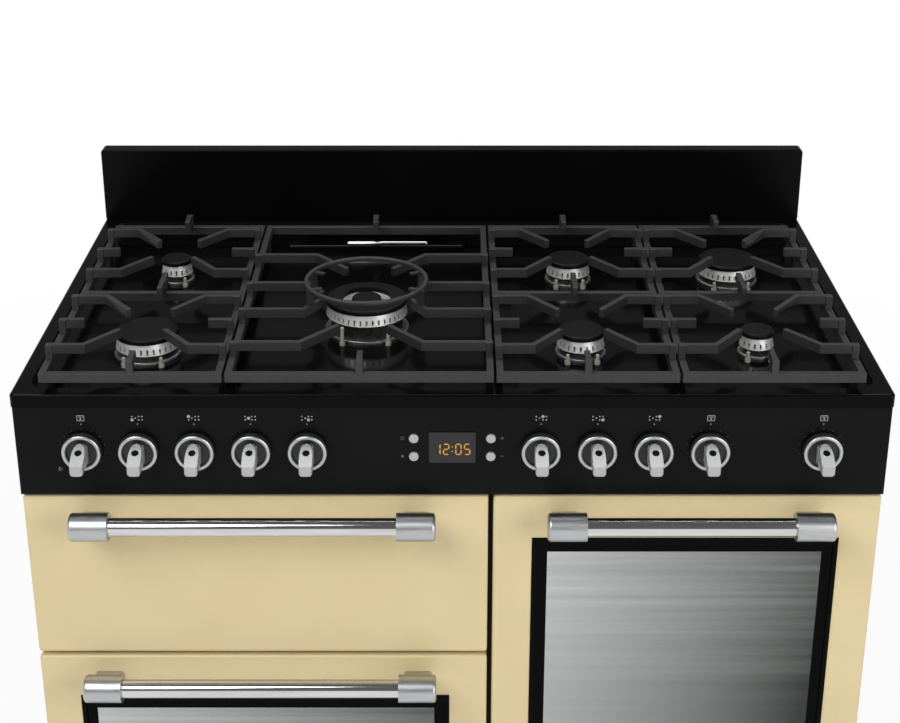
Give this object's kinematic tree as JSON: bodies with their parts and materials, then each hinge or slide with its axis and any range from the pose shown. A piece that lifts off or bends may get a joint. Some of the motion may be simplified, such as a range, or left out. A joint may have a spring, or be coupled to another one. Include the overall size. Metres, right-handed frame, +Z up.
{
  "type": "range cooker",
  "caption": "Free-standing range cooker: gas hob with wok burner and cast pan supports, knob panel with clock, grill and two ovens behind hinged cream doors, splashback at the rear.",
  "frame": {"origin": "bottom centre of the bounding box, at floor level", "axes": "+X to the right seen from the front, +Y to the back, +Z up"},
  "size_m": [1, 0.6446, 1.005],
  "materials": {
    "black_enamel": "gloss",
    "panel_enamel": "satin",
    "cream_enamel": "satin",
    "oven_enamel": "gloss",
    "casing_steel": "satin",
    "clock_plastic": "gloss",
    "button_silver": "satin",
    "brass_fittings": "plain",
    "feet_plastic": "matte",
    "burner_aluminium": "satin",
    "cap_enamel": "satin",
    "electrode_ceramic": "glazed ceramic",
    "cast_iron": "satin black enamel",
    "seal_rubber": "matte",
    "hinge_steel": "plain",
    "wire_chrome": "bright",
    "element_steel": "dull",
    "knob_chrome": "bright",
    "handle_chrome": "bright tube, satin ends",
    "door_glass": "clear, dark border"
  },
  "bodies": {
    "cabinet": {"hob_top": "black_enamel", "splashback": "black_enamel", "control_panel": "panel_enamel", "clock_module": "clock_plastic", "gas_rail_and_taps": "brass_fittings", "front_frame": "oven_enamel", "casing_panels": "casing_steel", "base_pan": "casing_steel", "plinth": "black_enamel", "levelling_feet": "feet_plastic", "burner_cups": "burner_aluminium", "flame_spreaders": "burner_aluminium", "burner_caps": "cap_enamel", "ignition_pins": "electrode_ceramic", "door_seals": "seal_rubber", "door_hinge_arms": "hinge_steel", "grill_liner": "oven_enamel", "left_oven_liner": "oven_enamel", "right_oven_liner": "oven_enamel", "oven_shelves": "wire_chrome", "heating_elements": "element_steel", "fan_housing": "oven_enamel"},
    "grill_door": {"grill_door_panel": "cream_enamel", "grill_door_liner": "oven_enamel", "grill_door_handle": "handle_chrome"},
    "left_door": {"left_door_panel": "cream_enamel", "left_door_liner": "oven_enamel", "left_door_handle": "handle_chrome", "left_door_glass": "door_glass"},
    "right_door": {"right_door_panel": "cream_enamel", "right_door_liner": "oven_enamel", "right_door_handle": "handle_chrome", "right_door_glass": "door_glass"},
    "knob_1": {"knob_1": "knob_chrome"},
    "tap_stem_2": {"tap_stem_2": "brass_fittings"},
    "knob_2": {"knob_2": "knob_chrome"},
    "tap_stem_3": {"tap_stem_3": "brass_fittings"},
    "knob_3": {"knob_3": "knob_chrome"},
    "tap_stem_4": {"tap_stem_4": "brass_fittings"},
    "knob_4": {"knob_4": "knob_chrome"},
    "tap_stem_5": {"tap_stem_5": "brass_fittings"},
    "knob_5": {"knob_5": "knob_chrome"},
    "tap_stem_6": {"tap_stem_6": "brass_fittings"},
    "knob_6": {"knob_6": "knob_chrome"},
    "tap_stem_7": {"tap_stem_7": "brass_fittings"},
    "knob_7": {"knob_7": "knob_chrome"},
    "tap_stem_8": {"tap_stem_8": "brass_fittings"},
    "knob_8": {"knob_8": "knob_chrome"},
    "knob_9": {"knob_9": "knob_chrome"},
    "knob_10": {"knob_10": "knob_chrome"},
    "clock_button_1": {"clock_button_1": "button_silver"},
    "clock_button_2": {"clock_button_2": "button_silver"},
    "clock_button_3": {"clock_button_3": "button_silver"},
    "clock_button_4": {"clock_button_4": "button_silver"},
    "pan_support_left": {"pan_support_left": "cast_iron"},
    "pan_support_wok": {"pan_support_wok": "cast_iron"},
    "pan_support_inner": {"pan_support_inner": "cast_iron"},
    "pan_support_right": {"pan_support_right": "cast_iron"},
    "wok_ring": {"wok_ring": "cast_iron"},
    "fan": {"fan_impeller": "element_steel"}
  },
  "joints": [
    {"name": "grill_door_hinge", "type": "hinge", "parent": "cabinet", "child": "grill_door", "pos_m": [-0.2285, -0.25475, 0.564], "axis": [1, 0, 0], "range_deg": [0, 90]},
    {"name": "left_door_hinge", "type": "hinge", "parent": "cabinet", "child": "left_door", "pos_m": [-0.486, -0.25475, 0.3255], "axis": [0, 0, -1], "range_deg": [0, 100]},
    {"name": "right_door_hinge", "type": "hinge", "parent": "cabinet", "child": "right_door", "pos_m": [0.486, -0.25475, 0.436], "axis": [0, 0, 1], "range_deg": [0, 100]},
    {"name": "knob_1_turn", "type": "hinge", "parent": "cabinet", "child": "knob_1", "pos_m": [-0.422, -0.27375, 0.83], "axis": [0, 1, 0], "range_deg": [0, 270]},
    {"name": "tap_2_turn", "type": "hinge", "parent": "cabinet", "child": "tap_stem_2", "pos_m": [-0.35775, -0.27375, 0.83], "axis": [0, -1, 0], "range_deg": [0, 210]},
    {"name": "tap_3_turn", "type": "hinge", "parent": "cabinet", "child": "tap_stem_3", "pos_m": [-0.2935, -0.27375, 0.83], "axis": [0, -1, 0], "range_deg": [0, 210]},
    {"name": "tap_4_turn", "type": "hinge", "parent": "cabinet", "child": "tap_stem_4", "pos_m": [-0.22925, -0.27375, 0.83], "axis": [0, -1, 0], "range_deg": [0, 210]},
    {"name": "tap_5_turn", "type": "hinge", "parent": "cabinet", "child": "tap_stem_5", "pos_m": [-0.165, -0.27375, 0.83], "axis": [0, -1, 0], "range_deg": [0, 210]},
    {"name": "tap_6_turn", "type": "hinge", "parent": "cabinet", "child": "tap_stem_6", "pos_m": [0.101, -0.27375, 0.83], "axis": [0, -1, 0], "range_deg": [0, 210]},
    {"name": "tap_7_turn", "type": "hinge", "parent": "cabinet", "child": "tap_stem_7", "pos_m": [0.16525, -0.27375, 0.83], "axis": [0, -1, 0], "range_deg": [0, 210]},
    {"name": "tap_8_turn", "type": "hinge", "parent": "cabinet", "child": "tap_stem_8", "pos_m": [0.2295, -0.27375, 0.83], "axis": [0, -1, 0], "range_deg": [0, 210]},
    {"name": "knob_9_turn", "type": "hinge", "parent": "cabinet", "child": "knob_9", "pos_m": [0.29375, -0.27375, 0.83], "axis": [0, 1, 0], "range_deg": [0, 270]},
    {"name": "knob_10_turn", "type": "hinge", "parent": "cabinet", "child": "knob_10", "pos_m": [0.422, -0.27375, 0.83], "axis": [0, 1, 0], "range_deg": [0, 270]},
    {"name": "knob_2_push", "type": "slide", "parent": "tap_stem_2", "child": "knob_2", "axis": [0, 1, 0], "range_m": [0, 0.0035], "stiffness_N_per_m": 1200},
    {"name": "knob_3_push", "type": "slide", "parent": "tap_stem_3", "child": "knob_3", "axis": [0, 1, 0], "range_m": [0, 0.0035], "stiffness_N_per_m": 1200},
    {"name": "knob_4_push", "type": "slide", "parent": "tap_stem_4", "child": "knob_4", "axis": [0, 1, 0], "range_m": [0, 0.0035], "stiffness_N_per_m": 1200},
    {"name": "knob_5_push", "type": "slide", "parent": "tap_stem_5", "child": "knob_5", "axis": [0, 1, 0], "range_m": [0, 0.0035], "stiffness_N_per_m": 1200},
    {"name": "knob_6_push", "type": "slide", "parent": "tap_stem_6", "child": "knob_6", "axis": [0, 1, 0], "range_m": [0, 0.0035], "stiffness_N_per_m": 1200},
    {"name": "knob_7_push", "type": "slide", "parent": "tap_stem_7", "child": "knob_7", "axis": [0, 1, 0], "range_m": [0, 0.0035], "stiffness_N_per_m": 1200},
    {"name": "knob_8_push", "type": "slide", "parent": "tap_stem_8", "child": "knob_8", "axis": [0, 1, 0], "range_m": [0, 0.0035], "stiffness_N_per_m": 1200},
    {"name": "clock_button_1_press", "type": "slide", "parent": "cabinet", "child": "clock_button_1", "axis": [0, 1, 0], "range_m": [0, 0.0015], "stiffness_N_per_m": 500},
    {"name": "clock_button_2_press", "type": "slide", "parent": "cabinet", "child": "clock_button_2", "axis": [0, 1, 0], "range_m": [0, 0.0015], "stiffness_N_per_m": 500},
    {"name": "clock_button_3_press", "type": "slide", "parent": "cabinet", "child": "clock_button_3", "axis": [0, 1, 0], "range_m": [0, 0.0015], "stiffness_N_per_m": 500},
    {"name": "clock_button_4_press", "type": "slide", "parent": "cabinet", "child": "clock_button_4", "axis": [0, 1, 0], "range_m": [0, 0.0015], "stiffness_N_per_m": 500},
    {"name": "pan_support_left_lift", "type": "slide", "parent": "cabinet", "child": "pan_support_left", "axis": [0, 0, 1], "range_m": [0, 0.12]},
    {"name": "pan_support_wok_lift", "type": "slide", "parent": "cabinet", "child": "pan_support_wok", "axis": [0, 0, 1], "range_m": [0, 0.12]},
    {"name": "pan_support_inner_lift", "type": "slide", "parent": "cabinet", "child": "pan_support_inner", "axis": [0, 0, 1], "range_m": [0, 0.12]},
    {"name": "pan_support_right_lift", "type": "slide", "parent": "cabinet", "child": "pan_support_right", "axis": [0, 0, 1], "range_m": [0, 0.12]},
    {"name": "wok_ring_lift", "type": "slide", "parent": "pan_support_wok", "child": "wok_ring", "axis": [0, 0, 1], "range_m": [0, 0.1]},
    {"name": "fan_spin", "type": "hinge", "parent": "cabinet", "child": "fan", "pos_m": [0.2735, 0.21025, 0.404], "axis": [0, -1, 0], "continuous": true}
  ]
}
